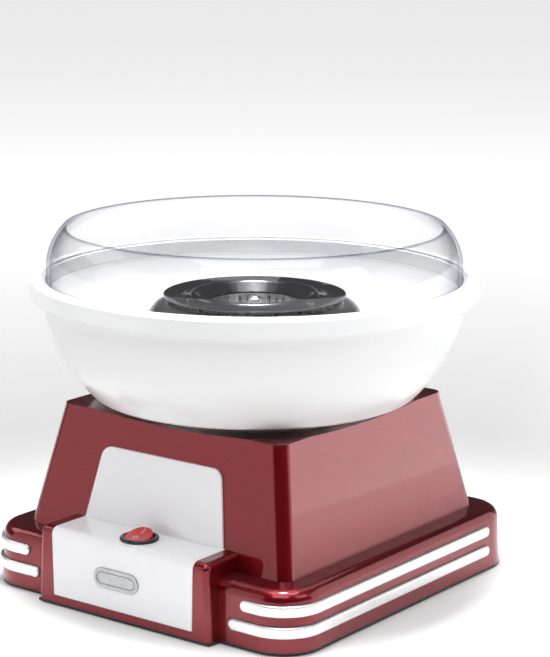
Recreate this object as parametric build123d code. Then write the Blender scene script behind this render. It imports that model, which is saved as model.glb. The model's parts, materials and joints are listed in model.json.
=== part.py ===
from build123d import *
import math
import os

# Home cotton candy machine, millimetres.
# +Z is up, the front (the switch side) faces -Y, and the origin is on the
# spindle axis at the level of the surface that the feet stand on.

# ---- driving dimensions: base tray -------------------------------------
WALL = 2.5                      # moulded wall of the red casings
TRAY_BOTTOM_Z = 2.3             # lower edge of the tray above the table
DECK_Z = 40.0                   # flat top of the tray
TRAY_HALF_BOTTOM = 125.6        # half of the tray's width at its lower edge
TRAY_HALF_TOP = 124.3           # the same at the deck
TRAY_CORNER_R = 26.5
TRAY_EDGE_R = 7.5               # rounding of the deck's outer edge
DECK_OPENING_HALF = 92.0        # square opening under the upper housing

# ---- driving dimensions: upper housing ---------------------------------
HOUSING_HALF_BOTTOM = 105.7
HOUSING_HALF_TOP = 89.5
HOUSING_TOP_Z = 119.0
HOUSING_CORNER_R = 8.0
DISH_R = 108.0                  # shallow dish in the roof that the bowl sits in
DISH_FLOOR_R = 80.0
DISH_FLOOR_Z = 115.3
ROOF = 3.0                      # thickness of the roof under the dish
ROOF_OPENING_R = 56.0           # hole in the roof for the motor and the leads
HOUSING_SCREW_XY = 96.5

# ---- driving dimensions: control block and fascia ----------------------
BLOCK_FRONT_Y = -135.0
BLOCK_HALF_BOTTOM = 70.2
BLOCK_HALF_TOP = 67.6
BLOCK_TOP_Z = 51.5
BLOCK_EDGE_R = 5.0              # rounding over the top front edge
BLOCK_SIDE_R = 4.0              # rounding of its upright and side edges
BLOCK_WALL = 4.0
CHEEK_REAR_Y = -104.0           # rear end of the block's two side walls
FASCIA_T = 2.0                  # thickness of the white moulding
FASCIA_PROUD = 1.2              # how far its sloping back stands off the housing
FASCIA_HALF_BOTTOM = 56.3       # half width at the foot of its front
FASCIA_HALF = 57.3              # half width at the ledge
FASCIA_BACK_HALF = 56.2         # half width where the sloping back starts
FASCIA_TOP_HALF = 47.4
FASCIA_BOTTOM_Z = 7.3
FASCIA_TOP_Z = 98.3
FASCIA_UPPER_R = 8.0            # its corners beside the housing's roof
FASCIA_LOWER_R = 0.8
SEAM = 0.2                      # visible joint round inset pieces
BADGE_W = 36.0
BADGE_H = 13.0
BADGE_T = 1.0
BADGE_X = -3.8
BADGE_Z = 27.2

# ---- driving dimensions: switch ----------------------------------------
SWITCH_X = 2.0
SWITCH_Y = -119.3
BEZEL_R = 12.3
SWITCH_BODY_R = 10.6
SWITCH_WELL_R = 9.9
ROCKER_R = 8.8
ROCKER_END_R = 9.3              # its ends sweep a cylinder about the pivot
ROCKER_TILT = 14.0              # degrees either side of level
ROCKER_EDGE_H = 4.2             # height of its two ends above the pivot, level
ROCKER_SADDLE_R = 34.0
ROCKER_PIVOT_Z = 51.0
ROCKER_PIN_R = 0.8
ROCKER_PIN_HALF = 10.2

# ---- driving dimensions: trim strips -----------------------------------
STRIP_H = 7.2
STRIP_PROUD = 2.0
STRIP_EDGE_R = 1.3
STRIP_INSET = 1.0
STRIP_SEAM = 0.45               # open joint round each strip
STRIP_UPPER_Z = 28.0
STRIP_LOWER_Z = 14.9
STRIP_UPPER_START = 86.0        # distance of each front end from the centre plane
STRIP_LOWER_START = 77.5
STRIP_REAR_END = 92.5

# ---- driving dimensions: bowl and guard --------------------------------
BOWL_HOLE_R = 71.5
BOWL_WALL = 2.5
BOWL_ARC_R = 103.1              # radius of the bowl's side
BOWL_ARC_CENTRE = (35.3, 199.7)
BOWL_CORNER = (103.0, 123.3)    # a point on the sloping underside
BOWL_UNDERSIDE_SLOPE = 9.5      # degrees
BOWL_CORNER_R = 9.0
FOOT_RING_R = 79.0
KEY_ANGLES = (0, 120, 240)      # locating keys under the foot ring
KEY_R = 75.4
NECK_TOP_Z = 132.0              # top of the short wall round the bowl's hole
RIM_R = 146.3
RIM_TOP_R = 145.1
RIM_LOW_Z = 189.6
RIM_TOP_Z = 201.6
RIM_STEP_Z = 200.0              # ledge inside the rim that carries the guard
RIM_STEP_R = 138.3
BOWL_MOUTH_R = 135.5
GUARD_R = 134.9
GUARD_T = 2.2
GUARD_FOOT_Z = 192.0
GUARD_ARC_R = 37.0
GUARD_ARC_CENTRE = (97.9, 207.2)
GUARD_TOP_Z = 233.8
GUARD_FLANGE_R = 137.8

# ---- driving dimensions: heater housing and spinner head ---------------
COLLAR_FOOT_R = 66.0
COLLAR_R = 69.8
COLLAR_SHOULDER_Z = 175.0
COLLAR_DOME = (66.6, 180.2)     # a point on the rounding from side to mouth
COLLAR_TOP_Z = 184.0
COLLAR_MOUTH_R = 57.0
COLLAR_WALL = 2.4
COLLAR_SCREW_R = 61.0           # circle of the screws that fix it to the roof
POST_R = 55.0                   # circle of the three motor posts
POST_ANGLES = (30, 150, 270)
POST_TOP_Z = 134.0
BRACKET_Z = 138.0               # underside of the motor bracket
BRACKET_T = 1.6
HEAD_R = 59.5
HEAD_RIM_Z = 188.2
HEAD_SHEET = 1.1
HEAD_SCREW_ANGLES = (-120, 0, 120)
HEAD_SCREW_R = 45.0
CUP_R = 38.5
CUP_FLOOR_Z = 165.5
CUP_TOP_Z = 184.4
HEAD_SEAT_Z = 186.4             # seats of the three screws in the saucer
WELL_R = 29.0
WELL_EDGE_Z = 183.6
CREST_Z = 189.6
HUB_R = 7.0
ELEMENT_R = 48.0
ELEMENT_TUBE_R = 3.2
ELEMENT_Z = 171.0
ELEMENT_END_ANGLES = (82, 98)
SUPPORT_ANGLES = (0, 180, 270)
PAN_Z = 159.0
PAN_T = 0.8

# ---- driving dimensions: motor and spindle -----------------------------
SHAFT_R = 3.0
RUNNING_GAP = 0.04              # radial clearance of the running fits
SHAFT_BOTTOM_Z = 80.0
SHAFT_TOP_Z = 183.0
MOTOR_R = 18.0
MOTOR_BOTTOM_Z = 86.0
MOTOR_WALL = 1.6
ARMATURE_R = 12.4
ARMATURE_POLES = 5
BEARING_R = 5.0
PIN_Z = 175.0
PIN_R = 1.0
PIN_LENGTH = 12.0

# ---- driving dimensions: underside -------------------------------------
COVER_Z = 0.8
COVER_T = 2.5
COVER_STEP_INSET = 0.3          # its lower step stops this far inside the casings' outline
COVER_FIT = 0.6                 # clearance of its upper step inside the walls
COVER_SCREWS = ((-108, -60), (-108, 60), (108, -60), (108, 60), (-50, 114), (50, 114))
FOOT_XY = 98.0
FOOT_R = 9.0
GLAND_X = 78.0
GLAND_Z = 16.0
GLAND_BORE_R = 3.7
LEAD_R = 1.2
BOARD_Z = 14.0
BOARD_T = 1.6
BOARD_CENTRE = (0.0, 50.0)

CUT = 400.0                     # size of the blocks used to trim shapes


# ---- general helpers ---------------------------------------------------
def box_between(low, high):
    """Box with two opposite corners at low and high."""
    size = [b - a for a, b in zip(low, high)]
    middle = [(a + b) / 2 for a, b in zip(low, high)]
    return Pos(*middle) * Box(*size)


def disc(radius, low, high, x=0.0, y=0.0):
    """Upright cylinder between two heights."""
    return Pos(x, y, (low + high) / 2) * Cylinder(radius, high - low)


def ring(outer, inner, low, high, x=0.0, y=0.0):
    """Upright tube between two heights."""
    return disc(outer, low, high, x, y) - disc(inner, low - 1, high + 1, x, y)


def turned(points):
    """Solid turned about the Z axis from (radius, height) points."""
    return revolve(Plane.XZ * make_face(Polyline(*points, close=True)), Axis.Z)


def frustum(half_low, half_high, low, high, radius):
    """Square pyramid with rounded upright edges."""
    bottom = Pos(0, 0, low) * RectangleRounded(2 * half_low, 2 * half_low, radius)
    top = Pos(0, 0, high) * RectangleRounded(2 * half_high, 2 * half_high, radius)
    return loft([bottom, top], ruled=True)


def on_circle(radius, angle):
    """Point on a circle about the spindle axis."""
    return (radius * math.cos(math.radians(angle)), radius * math.sin(math.radians(angle)))


def wire_along(points, radius):
    """Insulated wire along straight runs with rounded corners."""
    runs = [math.dist(a, b) for a, b in zip(points, points[1:])]
    radii = []
    for i in range(1, len(points) - 1):
        into = Vector(*points[i]) - Vector(*points[i - 1])
        out = Vector(*points[i + 1]) - Vector(*points[i])
        half_turn = math.radians(into.get_angle(out) / 2)
        radii.append(0.45 * min(runs[i - 1], runs[i]) / math.tan(half_turn))
    path = FilletPolyline(*points, radius=radii)
    start = Plane(origin=path @ 0, z_dir=path % 0)
    return sweep(start * Circle(radius), path=path)


def countersunk_screw(length, shank_r=1.5, head_r=3.0, head_h=1.8):
    """Countersunk screw with its head's flat face at z = 0, pointing up."""
    shape = turned([(0, 0), (head_r, 0), (shank_r, head_h), (shank_r, length - 1.2),
                    (0.3, length), (0, length)])
    slot = box_between((-0.4, -1.7, -1), (0.4, 1.7, 0.8))
    return shape - slot - Rot(0, 0, 90) * slot


def pan_screw(length, shank_r=1.5, head_r=2.9, head_h=2.0):
    """Pan head screw with its head above z = 0 and its shank below."""
    shape = disc(head_r, 0, head_h) + disc(shank_r, -length, 0)
    shape = fillet(shape.edges().sort_by(Axis.Z)[-1], 0.8)
    slot = box_between((-0.4, -2.0, head_h - 1), (0.4, 2.0, head_h + 1))
    return shape - slot - Rot(0, 0, 90) * slot


def group(solids, label):
    """Identical pieces that share one node."""
    return Compound(label=label, children=[s if isinstance(s, Solid) else s.solid() for s in solids])


# ---- outlines that several pieces share --------------------------------
def tray_half(z):
    """Half width of the tray's tapered side at a height."""
    share = (z - TRAY_BOTTOM_Z) / (DECK_Z - TRAY_BOTTOM_Z)
    return TRAY_HALF_BOTTOM + share * (TRAY_HALF_TOP - TRAY_HALF_BOTTOM)


def housing_face_y(z):
    """Y of the housing's front face at a height."""
    share = (z - DECK_Z) / (HOUSING_TOP_Z - DECK_Z)
    return -(HOUSING_HALF_BOTTOM + share * (HOUSING_HALF_TOP - HOUSING_HALF_BOTTOM))


def housing_envelope():
    return frustum(HOUSING_HALF_BOTTOM, HOUSING_HALF_TOP, DECK_Z, HOUSING_TOP_Z, HOUSING_CORNER_R)


def block_envelope(inset=0.0):
    """Outer form of the control block, or the hollow inside it."""
    low = TRAY_BOTTOM_Z - (1 if inset else 0)
    high = BLOCK_TOP_Z - inset
    outline = Polyline((-BLOCK_HALF_BOTTOM + inset, low), (BLOCK_HALF_BOTTOM - inset, low),
                       (BLOCK_HALF_TOP - inset, high), (-BLOCK_HALF_TOP + inset, high), close=True)
    face = Plane.XZ * make_face(outline)
    back_y = -95.0
    depth = back_y - BLOCK_FRONT_Y - inset
    block = Pos(0, back_y, 0) * extrude(face, depth)
    if inset:
        return block
    front = block.faces().sort_by(Axis.Y)[0]
    block = fillet(front.edges().sort_by(Axis.Z)[-1], BLOCK_EDGE_R)
    sides = block.edges().filter_by(lambda e: abs(e.center().X) > BLOCK_HALF_TOP - 1)
    sides = sides.filter_by(lambda e: e.center().Z > TRAY_BOTTOM_Z + 1)
    return fillet(sides.filter_by(lambda e: e.center().Y < back_y - 1), BLOCK_SIDE_R)


def roof_cut(drop=0.0):
    """Everything above the dished roof, or above its underside."""
    outside_z = HOUSING_TOP_Z - drop + (0 if drop else 12)
    return turned([(0, DISH_FLOOR_Z - drop), (DISH_FLOOR_R, DISH_FLOOR_Z - drop),
                   (DISH_R, HOUSING_TOP_Z - drop), (CUT / 2, outside_z),
                   (CUT / 2, HOUSING_TOP_Z + 20), (0, HOUSING_TOP_Z + 20)])


# ---- red casings -------------------------------------------------------
def strip_band(centre_z, outside, inside, clearance=0.0):
    """Band round the tray at a height, from outside the wall to inside it."""
    half = tray_half(centre_z)
    height = STRIP_H + 2 * clearance
    outer = RectangleRounded(2 * (half + outside), 2 * (half + outside), TRAY_CORNER_R + outside)
    inner = RectangleRounded(2 * (half - inside), 2 * (half - inside), TRAY_CORNER_R - inside)
    return Pos(0, 0, centre_z - height / 2) * extrude(outer - inner, height)


def strip_length(centre_z, start_x, clearance=0.0):
    """Blocks that keep the right-hand stretch of a band, with half-round ends."""
    radius = STRIP_H / 2 + clearance
    front_x = start_x - clearance + radius
    rear_y = STRIP_REAR_END + clearance - radius
    keep = box_between((front_x, -CUT / 2, 0), (CUT / 2, rear_y, DECK_Z))
    front_end = Pos(front_x, -TRAY_HALF_BOTTOM, centre_z) * Rot(90, 0, 0) * Cylinder(radius, 40)
    rear_end = Pos(TRAY_HALF_BOTTOM, rear_y, centre_z) * Rot(0, 90, 0) * Cylinder(radius, 40)
    return keep + front_end + rear_end


def trim_strip(centre_z, start_x):
    """Silver strip for the right side: it wraps the front corner."""
    strip = strip_band(centre_z, STRIP_PROUD, STRIP_INSET) & strip_length(centre_z, start_x)
    reach = TRAY_HALF_TOP + STRIP_PROUD - 0.6
    outer = strip.edges().filter_by(lambda e: max(e.center().X, -e.center().Y) > reach)
    corner = strip.edges().filter_by(GeomType.CIRCLE).filter_by(
        lambda e: abs(e.radius - TRAY_CORNER_R - STRIP_PROUD) < 0.1)
    return fillet(ShapeList(set(outer) | set(corner)), STRIP_EDGE_R)


def strip_groove(centre_z, start_x):
    groove = strip_band(centre_z, 5, STRIP_INSET, STRIP_SEAM)
    groove &= strip_length(centre_z, start_x, STRIP_SEAM)
    return groove + mirror(groove, Plane.YZ)


def screw_boss(x, y, low, high, hole_r=1.3):
    return ring(4.0, hole_r, low, high, x, y)


def base_tray():
    outer = frustum(TRAY_HALF_BOTTOM, TRAY_HALF_TOP, TRAY_BOTTOM_Z, DECK_Z, TRAY_CORNER_R)
    outer = fillet(outer.faces().sort_by(Axis.Z)[-1].edges(), TRAY_EDGE_R)
    hollow = frustum(TRAY_HALF_BOTTOM - WALL, TRAY_HALF_TOP - WALL, TRAY_BOTTOM_Z, DECK_Z - WALL,
                     TRAY_CORNER_R - WALL)
    hollow = fillet(hollow.faces().sort_by(Axis.Z)[-1].edges(), TRAY_EDGE_R - WALL)
    tray = outer - hollow
    opening = RectangleRounded(2 * DECK_OPENING_HALF, 2 * DECK_OPENING_HALF, HOUSING_CORNER_R)
    tray -= Pos(0, 0, DECK_Z - 10) * extrude(opening, 20)
    for x, y in COVER_SCREWS:
        tray += screw_boss(x, y, COVER_Z + COVER_T, DECK_Z - WALL + 0.5)
    tray -= block_envelope()
    tray -= strip_groove(STRIP_UPPER_Z, STRIP_UPPER_START)
    tray -= strip_groove(STRIP_LOWER_Z, STRIP_LOWER_START)
    for x, y in housing_screw_places():
        tray -= disc(1.7, DECK_Z - 5, DECK_Z + 1, x, y)
    tray -= Pos(GLAND_X, TRAY_HALF_BOTTOM, GLAND_Z) * Rot(90, 0, 0) * Cylinder(6.0, 20)
    return tray


def housing_screw_places():
    return [(sx * HOUSING_SCREW_XY, sy * HOUSING_SCREW_XY) for sx in (-1, 1) for sy in (-1, 1)]


def upper_housing():
    outer = housing_envelope() - roof_cut()
    inner = frustum(HOUSING_HALF_BOTTOM - WALL, HOUSING_HALF_TOP - WALL, DECK_Z, HOUSING_TOP_Z,
                    HOUSING_CORNER_R - WALL)
    housing = outer - (inner - roof_cut(ROOF))
    for x, y in housing_screw_places():
        boss = screw_boss(x, y, DECK_Z, DECK_Z + 14)
        housing += boss & outer
    housing -= disc(ROOF_OPENING_R, DISH_FLOOR_Z - 10, DISH_FLOOR_Z + 10)
    for angle in KEY_ANGLES:
        housing -= Rot(0, 0, angle) * key_shape(0.5)
    for angle in POST_ANGLES:
        housing -= disc(1.7, DISH_FLOOR_Z - 5, DISH_FLOOR_Z + 1, *on_circle(COLLAR_SCREW_R, angle))
    return housing


def front_block():
    block = block_envelope() - block_envelope(BLOCK_WALL)
    block -= housing_envelope()
    block -= front_fascia_form(SEAM)
    block -= disc(SWITCH_BODY_R + 0.3, BLOCK_TOP_Z - 18, BLOCK_TOP_Z + 1, SWITCH_X, SWITCH_Y)
    reach = BLOCK_HALF_BOTTOM + 5
    return block - box_between((-reach, CHEEK_REAR_Y, 0), (reach, CHEEK_REAR_Y + 30, DECK_Z))


# ---- white fascia ------------------------------------------------------
def fascia_outline(grow):
    """The fascia seen from the front: a plate with a narrowing back above it."""
    foot, half = FASCIA_HALF_BOTTOM + grow, FASCIA_HALF + grow
    back, top = FASCIA_BACK_HALF + grow, FASCIA_TOP_HALF + grow
    low = FASCIA_BOTTOM_Z - grow
    high = FASCIA_TOP_Z + grow
    outline = make_face(Polyline((-foot, low), (foot, low), (half, BLOCK_TOP_Z + 0.1),
                                 (back, BLOCK_TOP_Z + 0.1), (top, high), (-top, high),
                                 (-back, BLOCK_TOP_Z + 0.1), (-half, BLOCK_TOP_Z + 0.1), close=True))
    corners = outline.vertices().sort_by(Axis.Y)
    outline = fillet(corners[-2:], FASCIA_UPPER_R)
    outline = fillet(outline.vertices().sort_by(Axis.Y)[:2], FASCIA_LOWER_R)
    return Pos(0, -80, 0) * extrude(Plane.XZ * outline, 80)


def front_fascia_form(grow=0.0):
    """Bent plate: up the front, back over the ledge and up the housing's face."""
    y0 = BLOCK_FRONT_Y - (1 if grow else 0)
    z1 = BLOCK_TOP_Z + (1 if grow else 0)
    t = FASCIA_T + grow / 2
    slope_low = housing_face_y(BLOCK_TOP_Z) - FASCIA_PROUD
    slope_high = housing_face_y(FASCIA_TOP_Z) - FASCIA_PROUD
    profile = Polyline((y0, 0), (y0, z1), (slope_low, z1), (slope_high, FASCIA_TOP_Z + 3),
                       (slope_high + 8, FASCIA_TOP_Z + 3), (slope_low + 8, BLOCK_TOP_Z - t),
                       (BLOCK_FRONT_Y + t, BLOCK_TOP_Z - t), (BLOCK_FRONT_Y + t, 0), close=True)
    face = make_face(profile)
    bend = face.vertices().sort_by(Axis.X)[:4].sort_by(Axis.Y)
    if not grow:
        face = fillet(bend[-1], BLOCK_EDGE_R)
    inner_bend = [v for v in face.vertices() if abs(v.X - BLOCK_FRONT_Y - t) < 0.01 and v.Y > 1]
    face = fillet(inner_bend, BLOCK_EDGE_R - FASCIA_T)
    plate = Pos(-CUT / 4, 0, 0) * extrude(Plane.YZ * face, CUT / 2)
    return (plate & fascia_outline(grow)) - housing_envelope()


def front_fascia():
    fascia = front_fascia_form()
    fascia -= disc(SWITCH_BODY_R + 0.15, DECK_Z, BLOCK_TOP_Z + 1, SWITCH_X, SWITCH_Y)
    return fascia


def badge_plate():
    """Blank badge on the front, with a raised border."""
    plate = extrude(SlotOverall(BADGE_W, BADGE_H), BADGE_T)
    plate = fillet(plate.faces().sort_by(Axis.Z)[-1].edges(), 0.4)
    plate -= Pos(0, 0, BADGE_T - 0.3) * extrude(SlotOverall(BADGE_W - 4, BADGE_H - 4), BADGE_T)
    return Pos(BADGE_X, BLOCK_FRONT_Y, BADGE_Z) * Rot(90, 0, 0) * plate


# ---- switch ------------------------------------------------------------
def switch_body():
    """Round snap-in switch: bezel, barrel and the box behind it."""
    bezel = disc(BEZEL_R, BLOCK_TOP_Z, BLOCK_TOP_Z + 2.0)
    bezel = fillet(bezel.edges().sort_by(Axis.Z)[-1], 1.2)
    barrel = disc(SWITCH_BODY_R, BLOCK_TOP_Z - 16, BLOCK_TOP_Z)
    well = disc(SWITCH_WELL_R, ROCKER_PIVOT_Z - 7.5, BLOCK_TOP_Z + 5)
    pivot = Rot(0, 90, 0) * Cylinder(ROCKER_PIN_R + RUNNING_GAP, 2 * ROCKER_PIN_HALF + 0.2)
    body = bezel + barrel - well - Pos(0, 0, ROCKER_PIVOT_Z) * pivot
    body += box_between((-6, -6, BLOCK_TOP_Z - 20), (6, 6, BLOCK_TOP_Z - 16))
    return Pos(SWITCH_X, SWITCH_Y, 0) * body


def switch_terminals():
    tab = box_between((-2.4, -0.4, BLOCK_TOP_Z - 28), (2.4, 0.4, BLOCK_TOP_Z - 20))
    tab -= Pos(0, 0, BLOCK_TOP_Z - 25.5) * Rot(90, 0, 0) * Cylinder(0.8, 4)
    return group([Pos(SWITCH_X, SWITCH_Y + dy, 0) * tab for dy in (-4, 4)], "switch_terminals")


def switch_rocker():
    """Round rocker with a hollowed top, tilted so that its front is pressed."""
    level = disc(ROCKER_R, -4.5, ROCKER_EDGE_H + 2)
    level &= Rot(0, 90, 0) * Cylinder(ROCKER_END_R, 40)
    end_y = math.sqrt(ROCKER_END_R ** 2 - ROCKER_EDGE_H ** 2)
    saddle_z = ROCKER_EDGE_H + math.sqrt(ROCKER_SADDLE_R ** 2 - end_y ** 2)
    level -= Pos(0, 0, saddle_z) * Rot(0, 90, 0) * Cylinder(ROCKER_SADDLE_R, 40)
    level += Rot(0, 90, 0) * Cylinder(ROCKER_PIN_R, 2 * ROCKER_PIN_HALF)
    return Pos(SWITCH_X, SWITCH_Y, ROCKER_PIVOT_Z) * Rot(ROCKER_TILT, 0, 0) * level


# ---- bowl and guard ----------------------------------------------------
def key_shape(grow=0.0):
    """Locating key under the bowl's foot ring, or its pocket in the roof."""
    low = DISH_FLOOR_Z - (3.9 if grow else 2.4)
    high = DISH_FLOOR_Z + (1.0 if grow else 0.6)
    return box_between((KEY_R - 2 - grow, -5 - grow, low), (KEY_R + 2 + grow, 5 + grow, high))


def underside_z(r, lift=0.0):
    """Height of the bowl's sloping underside, or of its floor, at a radius."""
    rise = math.tan(math.radians(BOWL_UNDERSIDE_SLOPE))
    return BOWL_CORNER[1] + (r - BOWL_CORNER[0]) * rise + lift


def bowl_side_r(z, inset=0.0):
    """Radius of the bowl's curved side at a height."""
    cr, cz = BOWL_ARC_CENTRE
    return cr + math.sqrt((BOWL_ARC_R - inset) ** 2 - (z - cz) ** 2)


def bowl_section(inset, floor_lift, top_z, top_r, hole_r):
    """Half section of the bowl's outside, or of the space inside it."""
    side = BOWL_ARC_R - inset
    cr, cz = BOWL_ARC_CENTRE
    corner_r = BOWL_CORNER[0]
    for _ in range(40):
        corner_r = cr + math.sqrt(side ** 2 - (underside_z(corner_r, floor_lift) - cz) ** 2)
    corner = (corner_r, underside_z(corner_r, floor_lift))
    join_z = RIM_LOW_Z - 2
    join = (bowl_side_r(join_z, inset), join_z)
    mid_z = (corner[1] + join_z) / 2
    middle = (bowl_side_r(mid_z, inset), mid_z)
    outline = [Line((hole_r, underside_z(hole_r, floor_lift)), corner),
               ThreePointArc(corner, middle, join),
               Polyline(join, (top_r, top_z), (hole_r, top_z),
                        (hole_r, underside_z(hole_r, floor_lift)))]
    face = make_face(Curve() + outline)
    near = min(face.vertices(), key=lambda v: math.dist((v.X, v.Y), corner))
    return fillet(near, BOWL_CORNER_R - inset)


def bowl():
    outside = bowl_section(0, 0, RIM_LOW_Z, bowl_side_r(RIM_LOW_Z), BOWL_HOLE_R)
    solid = revolve(Plane.XZ * outside, Axis.Z)
    solid += ring(FOOT_RING_R, BOWL_HOLE_R, DISH_FLOOR_Z, underside_z(FOOT_RING_R) + 1)
    solid += bowl_rim()
    neck_r = BOWL_HOLE_R + BOWL_WALL
    floor_lift = BOWL_WALL / math.cos(math.radians(BOWL_UNDERSIDE_SLOPE))
    inside = bowl_section(BOWL_WALL, floor_lift, RIM_LOW_Z, BOWL_MOUTH_R, neck_r)
    solid -= revolve(Plane.XZ * inside, Axis.Z)
    solid -= ring(BOWL_MOUTH_R, neck_r, RIM_LOW_Z - 1, RIM_TOP_Z + 5)
    solid -= disc(neck_r + 1, NECK_TOP_Z, RIM_TOP_Z + 5)
    solid -= disc(BOWL_HOLE_R, DISH_FLOOR_Z - 5, RIM_TOP_Z)
    for angle in KEY_ANGLES:
        solid += Rot(0, 0, angle) * key_shape()
    return solid


def bowl_rim():
    """Rim band with a rounded top and a ledge inside it for the guard."""
    points = make_face(Polyline((bowl_side_r(RIM_LOW_Z - 2) - 1.5, RIM_LOW_Z - 2),
                                (bowl_side_r(RIM_LOW_Z - 2) - 0.2, RIM_LOW_Z - 2),
                                (bowl_side_r(RIM_LOW_Z) + 0.4, RIM_LOW_Z), (RIM_R, RIM_LOW_Z),
                                (RIM_TOP_R, RIM_TOP_Z), (RIM_STEP_R, RIM_TOP_Z),
                                (RIM_STEP_R, RIM_STEP_Z), (BOWL_MOUTH_R, RIM_STEP_Z),
                                (BOWL_MOUTH_R, RIM_LOW_Z - 1), close=True))
    outer = points.vertices().sort_by(Axis.X)[-2:]
    points = fillet(outer.sort_by(Axis.Y)[-1], 2.4)
    low = min(points.vertices(), key=lambda v: math.dist((v.X, v.Y), (RIM_R, RIM_LOW_Z)))
    points = fillet(low, 0.8)
    return revolve(Plane.XZ * points, Axis.Z)


def splash_guard():
    """Clear guard: a skirt inside the bowl, a flange on its ledge, a curved top."""
    cr, cz = GUARD_ARC_CENTRE

    def arc_r(z, radius):
        return cr + math.sqrt(radius ** 2 - (z - cz) ** 2)

    inner = GUARD_ARC_R - GUARD_T
    top_out = (arc_r(GUARD_TOP_Z, GUARD_ARC_R), GUARD_TOP_Z)
    top_in = (arc_r(GUARD_TOP_Z - 1.0, inner), GUARD_TOP_Z - 1.0)
    mid_z = (cz + GUARD_TOP_Z) / 2
    outline = [Polyline((cr + inner, cz), (cr + inner, GUARD_FOOT_Z), (GUARD_R, GUARD_FOOT_Z),
                        (GUARD_R, RIM_STEP_Z), (GUARD_FLANGE_R, RIM_STEP_Z),
                        (GUARD_FLANGE_R, RIM_STEP_Z + 1.2), (GUARD_R, RIM_STEP_Z + 1.2), (GUARD_R, cz)),
               ThreePointArc((GUARD_R, cz), (arc_r(mid_z, GUARD_ARC_R), mid_z), top_out),
               Line(top_out, top_in),
               ThreePointArc(top_in, (arc_r(mid_z, inner), mid_z), (cr + inner, cz))]
    return revolve(Plane.XZ * make_face(Curve() + outline), Axis.Z)


# ---- heater housing and heater -----------------------------------------
def heater_housing():
    """Black collar that rises through the bowl and carries motor and heater."""
    outer = [Polyline((0, DISH_FLOOR_Z), (COLLAR_FOOT_R, DISH_FLOOR_Z), (COLLAR_R, COLLAR_SHOULDER_Z)),
             ThreePointArc((COLLAR_R, COLLAR_SHOULDER_Z), COLLAR_DOME, (COLLAR_MOUTH_R + 2, COLLAR_TOP_Z)),
             Polyline((COLLAR_MOUTH_R + 2, COLLAR_TOP_Z), (0, COLLAR_TOP_Z), (0, DISH_FLOOR_Z))]
    solid = revolve(Plane.XZ * make_face(Curve() + outer), Axis.Z)
    t = COLLAR_WALL
    dome_in = (COLLAR_DOME[0] - 0.75 * t, COLLAR_DOME[1] - 0.7 * t)
    inner = [Polyline((0, DISH_FLOOR_Z + 3), (COLLAR_FOOT_R - t, DISH_FLOOR_Z + 3),
                      (COLLAR_R - t, COLLAR_SHOULDER_Z)),
             ThreePointArc((COLLAR_R - t, COLLAR_SHOULDER_Z), dome_in, (COLLAR_MOUTH_R, COLLAR_TOP_Z - t)),
             Polyline((COLLAR_MOUTH_R, COLLAR_TOP_Z - t), (0, COLLAR_TOP_Z - t), (0, DISH_FLOOR_Z + 3))]
    solid -= revolve(Plane.XZ * make_face(Curve() + inner), Axis.Z)
    solid -= disc(COLLAR_MOUTH_R, COLLAR_TOP_Z - 10, COLLAR_TOP_Z + 5)
    solid -= disc(ROOF_OPENING_R - 1, DISH_FLOOR_Z - 5, DISH_FLOOR_Z + 10)
    for angle in POST_ANGLES:
        x, y = on_circle(POST_R, angle)
        post = screw_boss(x, y, DISH_FLOOR_Z, POST_TOP_Z)
        rib = box_between((POST_R + 3, -1.25, DISH_FLOOR_Z + 1), (COLLAR_FOOT_R - 1, 1.25, POST_TOP_Z))
        solid += post + Rot(0, 0, angle) * rib
        solid -= disc(1.3, DISH_FLOOR_Z - 1, POST_TOP_Z + 1, x, y)
        solid -= disc(1.3, DISH_FLOOR_Z - 1, DISH_FLOOR_Z + 2.5, *on_circle(COLLAR_SCREW_R, angle))
    return solid + pan_ledge()


def pan_ledge():
    """Three lugs inside the collar that the reflector pan rests on."""
    lugs = []
    for angle in (90, 210, 330):
        lug = box_between((60.5, -5, PAN_Z - 3), (67.5, 5, PAN_Z))
        lugs.append(Rot(0, 0, angle) * lug)
    return lugs[0] + lugs[1] + lugs[2]


def reflector_pan():
    """Pressed aluminium pan under and round the heating element."""
    floor = PAN_Z + PAN_T
    pan = turned([(12, PAN_Z), (64.5, PAN_Z), (64.5, floor), (58, floor), (57.2, PAN_Z + 16),
                  (56.4, PAN_Z + 16), (57.0, floor), (13, floor), (13, PAN_Z + 4), (12, PAN_Z + 4)])
    for angle in ELEMENT_END_ANGLES:
        pan -= disc(3.4, PAN_Z - 5, PAN_Z + 5, *on_circle(ELEMENT_R, angle))
    for angle in SUPPORT_ANGLES:
        pan -= disc(1.4, PAN_Z - 5, PAN_Z + 5, *on_circle(ELEMENT_R, angle))
    return pan


def heating_element():
    """Open ring heater whose two ends turn down through the pan."""
    low, high = ELEMENT_END_ANGLES
    bend_r = 6.0
    lead_in = 9.0
    start = on_circle(ELEMENT_R, high)
    end = on_circle(ELEMENT_R, low)
    arc = CenterArc((0, 0, ELEMENT_Z), ELEMENT_R, high + lead_in, 360 - (high - low) - 2 * lead_in)
    legs = []
    for point, near in ((start, arc @ 0), (end, arc @ 1)):
        side = FilletPolyline((near.X, near.Y, near.Z), (point[0], point[1], ELEMENT_Z),
                              (point[0], point[1], PAN_Z - 6), radius=bend_r)
        legs.append(side)
    tube = Plane(origin=arc @ 0, z_dir=arc % 0) * Circle(ELEMENT_TUBE_R)
    ring_part = sweep(tube, path=arc)
    for leg in legs:
        ring_part += sweep(Plane(origin=leg @ 0, z_dir=leg % 0) * Circle(ELEMENT_TUBE_R), path=leg)
    return ring_part


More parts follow.
